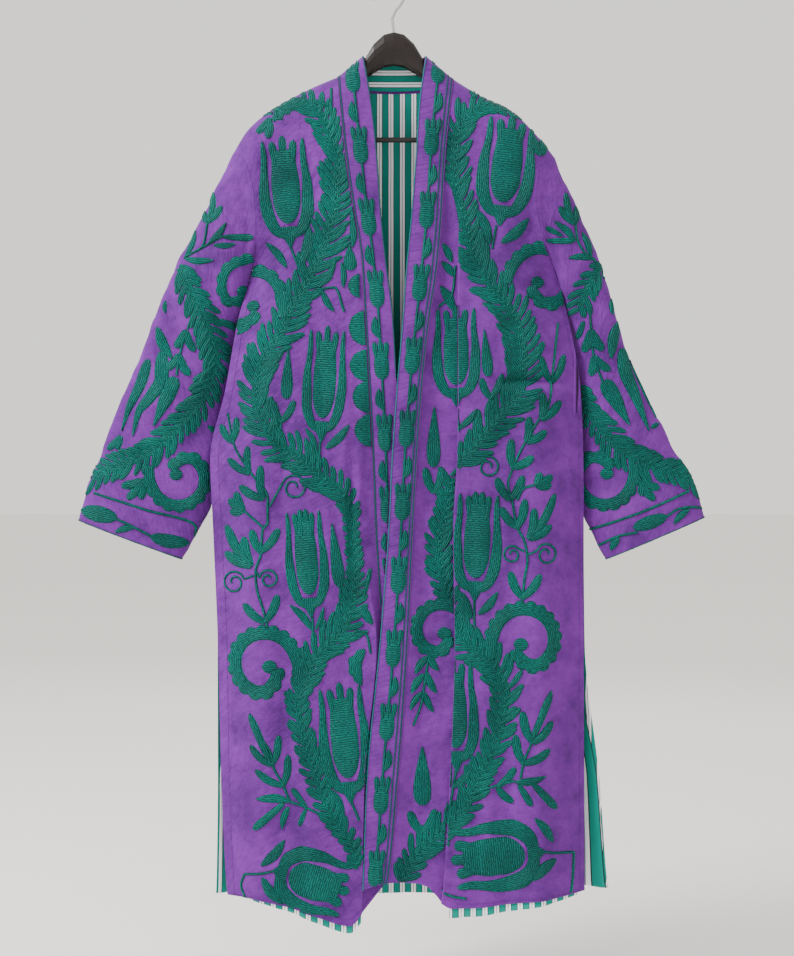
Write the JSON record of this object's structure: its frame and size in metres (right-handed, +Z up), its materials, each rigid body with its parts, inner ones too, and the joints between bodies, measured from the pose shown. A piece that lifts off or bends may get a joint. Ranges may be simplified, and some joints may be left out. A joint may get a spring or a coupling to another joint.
{
  "type": "embroidered full-length robe on a wooden hanger",
  "caption": "Full-length open robe with wide sleeves, a flat front band and side slits, hanging rigid on a wooden trouser hanger.",
  "frame": {"origin": "inside top of the hanger's hook, where a rail holds it", "axes": "+Z up, -Y out of the robe's front, +X to the viewer's right, which is the wearer's left"},
  "size_m": [0.8695, 0.1047, 1.3295],
  "materials": {
    "purple_cotton": "plain woven cotton, matt",
    "green_embroidery": "thick cotton thread in chain and satin stitch, soft sheen",
    "striped_cotton": "woven stripe, matt",
    "dark_wood": "dark stain under satin lacquer",
    "black_bar": "black, satin",
    "steel_wire": "bright drawn steel"
  },
  "bodies": {
    "root": {"back": "purple_cotton", "front_left": "purple_cotton", "front_right": "purple_cotton", "sleeve_left": "purple_cotton", "sleeve_right": "purple_cotton", "band_left": "purple_cotton", "band_right": "purple_cotton", "neck_facing_left": "striped_cotton", "neck_facing_right": "striped_cotton", "lining_back": "striped_cotton", "lining_front_left": "striped_cotton", "lining_front_right": "striped_cotton", "hanger_wood": "dark_wood", "hanger_bar": "black_bar", "hanger_hook": "steel_wire"}
  },
  "joints": []
}
